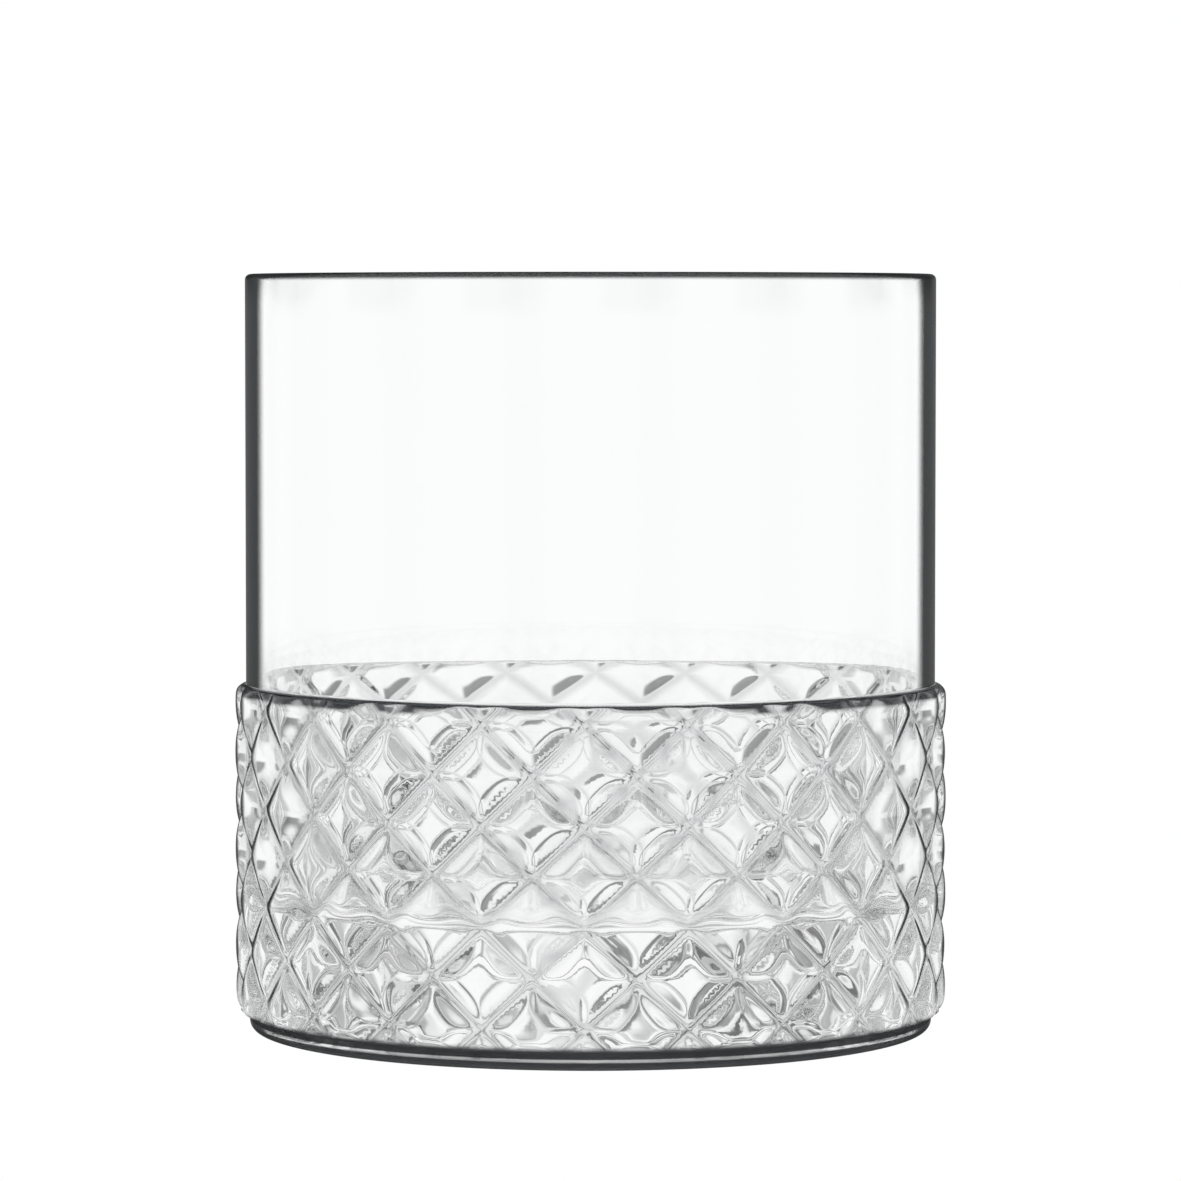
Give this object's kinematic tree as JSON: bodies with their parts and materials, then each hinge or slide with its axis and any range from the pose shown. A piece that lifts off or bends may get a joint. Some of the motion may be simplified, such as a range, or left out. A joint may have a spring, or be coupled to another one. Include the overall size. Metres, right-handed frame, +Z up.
{
  "type": "whiskey tumbler",
  "caption": "Short wide drinking glass with a plain thin upper wall and a thick base wrapped in a band of raised diamonds.",
  "frame": {"origin": "centre of the circle that the tumbler stands on", "axes": "+Z up along the tumbler's axis, out of its mouth; -Y is the side that faces the viewer"},
  "size_m": [0.085, 0.085, 0.09],
  "materials": {
    "clear_glass": "fire-polished clear soda-lime glass, faint mould ripple"
  },
  "bodies": {
    "root": {"tumbler": "clear_glass"}
  },
  "joints": []
}
